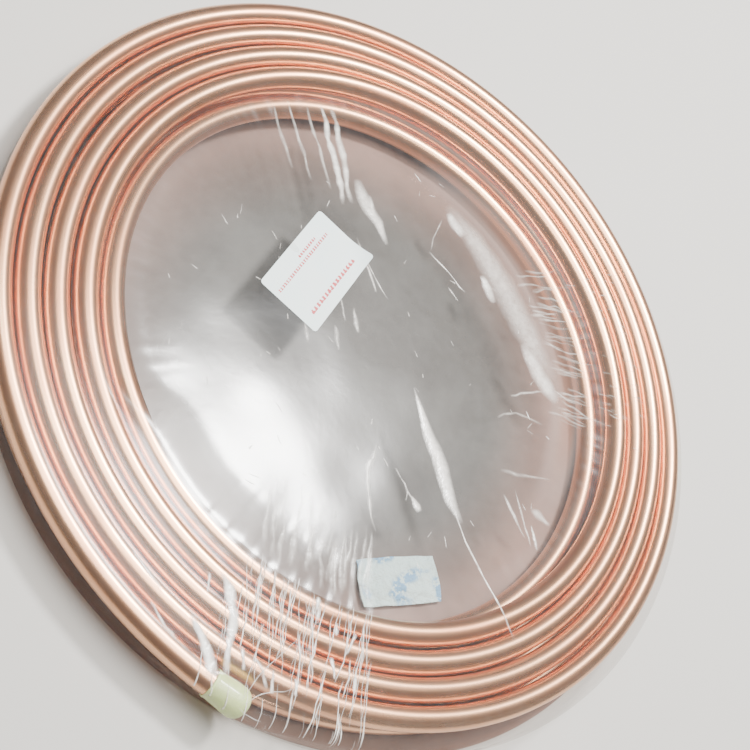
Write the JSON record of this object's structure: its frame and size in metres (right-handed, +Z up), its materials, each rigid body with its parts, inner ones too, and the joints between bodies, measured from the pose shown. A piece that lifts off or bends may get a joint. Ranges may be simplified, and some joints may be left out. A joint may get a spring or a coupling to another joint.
{
  "type": "copper tube coil",
  "caption": "Flat-wound two-layer coil of soft copper tube with capped ends, wrapped in clear film with a blank paper label and a drying sachet inside.",
  "frame": {"origin": "on the coil's axis, at the underside of the film wrap, on the floor", "axes": "+Z up along the coil's axis; the two winding centres lie either side of the line at azimuth 225 degrees, counter-clockwise from +X"},
  "size_m": [0.6392, 0.636, 0.0406],
  "materials": {
    "copper": "bright drawn copper, satin",
    "cap_plastic": "translucent pale green",
    "clear_film": "clear, creased",
    "label_paper": "smooth",
    "sachet_paper": "smooth, creased"
  },
  "bodies": {
    "root": {"tube_coil": "copper", "outer_end_cap": "cap_plastic", "lower_end_cap": "cap_plastic", "film_top": "clear_film", "film_side": "clear_film", "film_base": "clear_film", "paper_label": "label_paper", "drying_sachet": "sachet_paper"}
  },
  "joints": []
}
